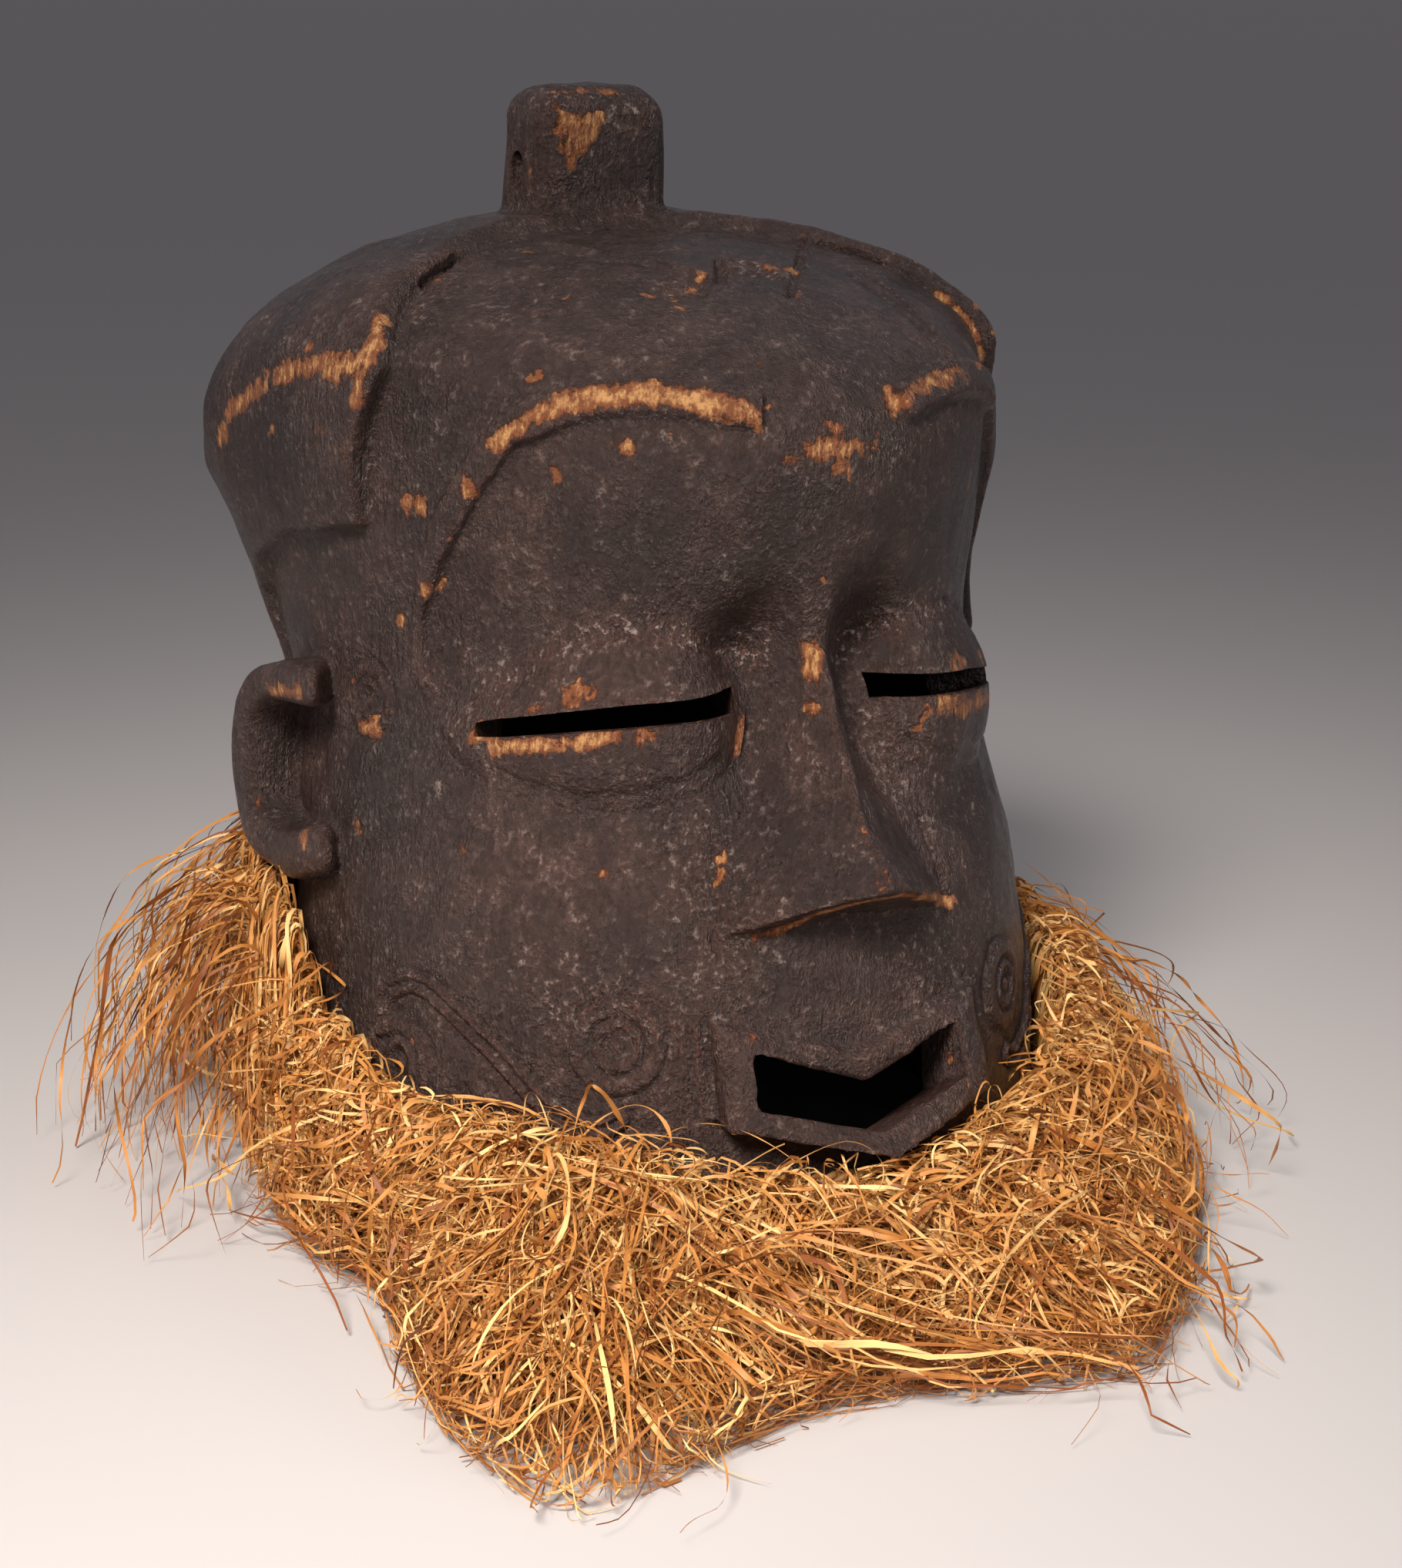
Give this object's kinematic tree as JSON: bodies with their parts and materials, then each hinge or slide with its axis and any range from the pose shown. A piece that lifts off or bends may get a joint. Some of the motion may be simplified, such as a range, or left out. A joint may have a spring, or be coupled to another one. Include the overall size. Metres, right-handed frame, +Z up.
{
  "type": "helmet mask",
  "caption": "Carved wooden helmet mask with a domed head, bored knob, slit eyes and chevron mouth, and a loose raffia fringe laced round its rim.",
  "frame": {"origin": "middle of the whole footprint, on the plane of the rim and the table", "axes": "+Z up, the face looks along -Y, +X is the mask's own left"},
  "size_m": [0.4034, 0.4638, 0.3429],
  "materials": {
    "carved_wood": "dark brown-black patina, knife marks, pale worn edges",
    "raffia_lacing": "brown twisted raffia",
    "raffia": "dry golden raffia strips"
  },
  "bodies": {
    "root": {"helmet_mask": "carved_wood", "raffia_lacing": "raffia_lacing", "raffia_fringe": "raffia"}
  },
  "joints": []
}
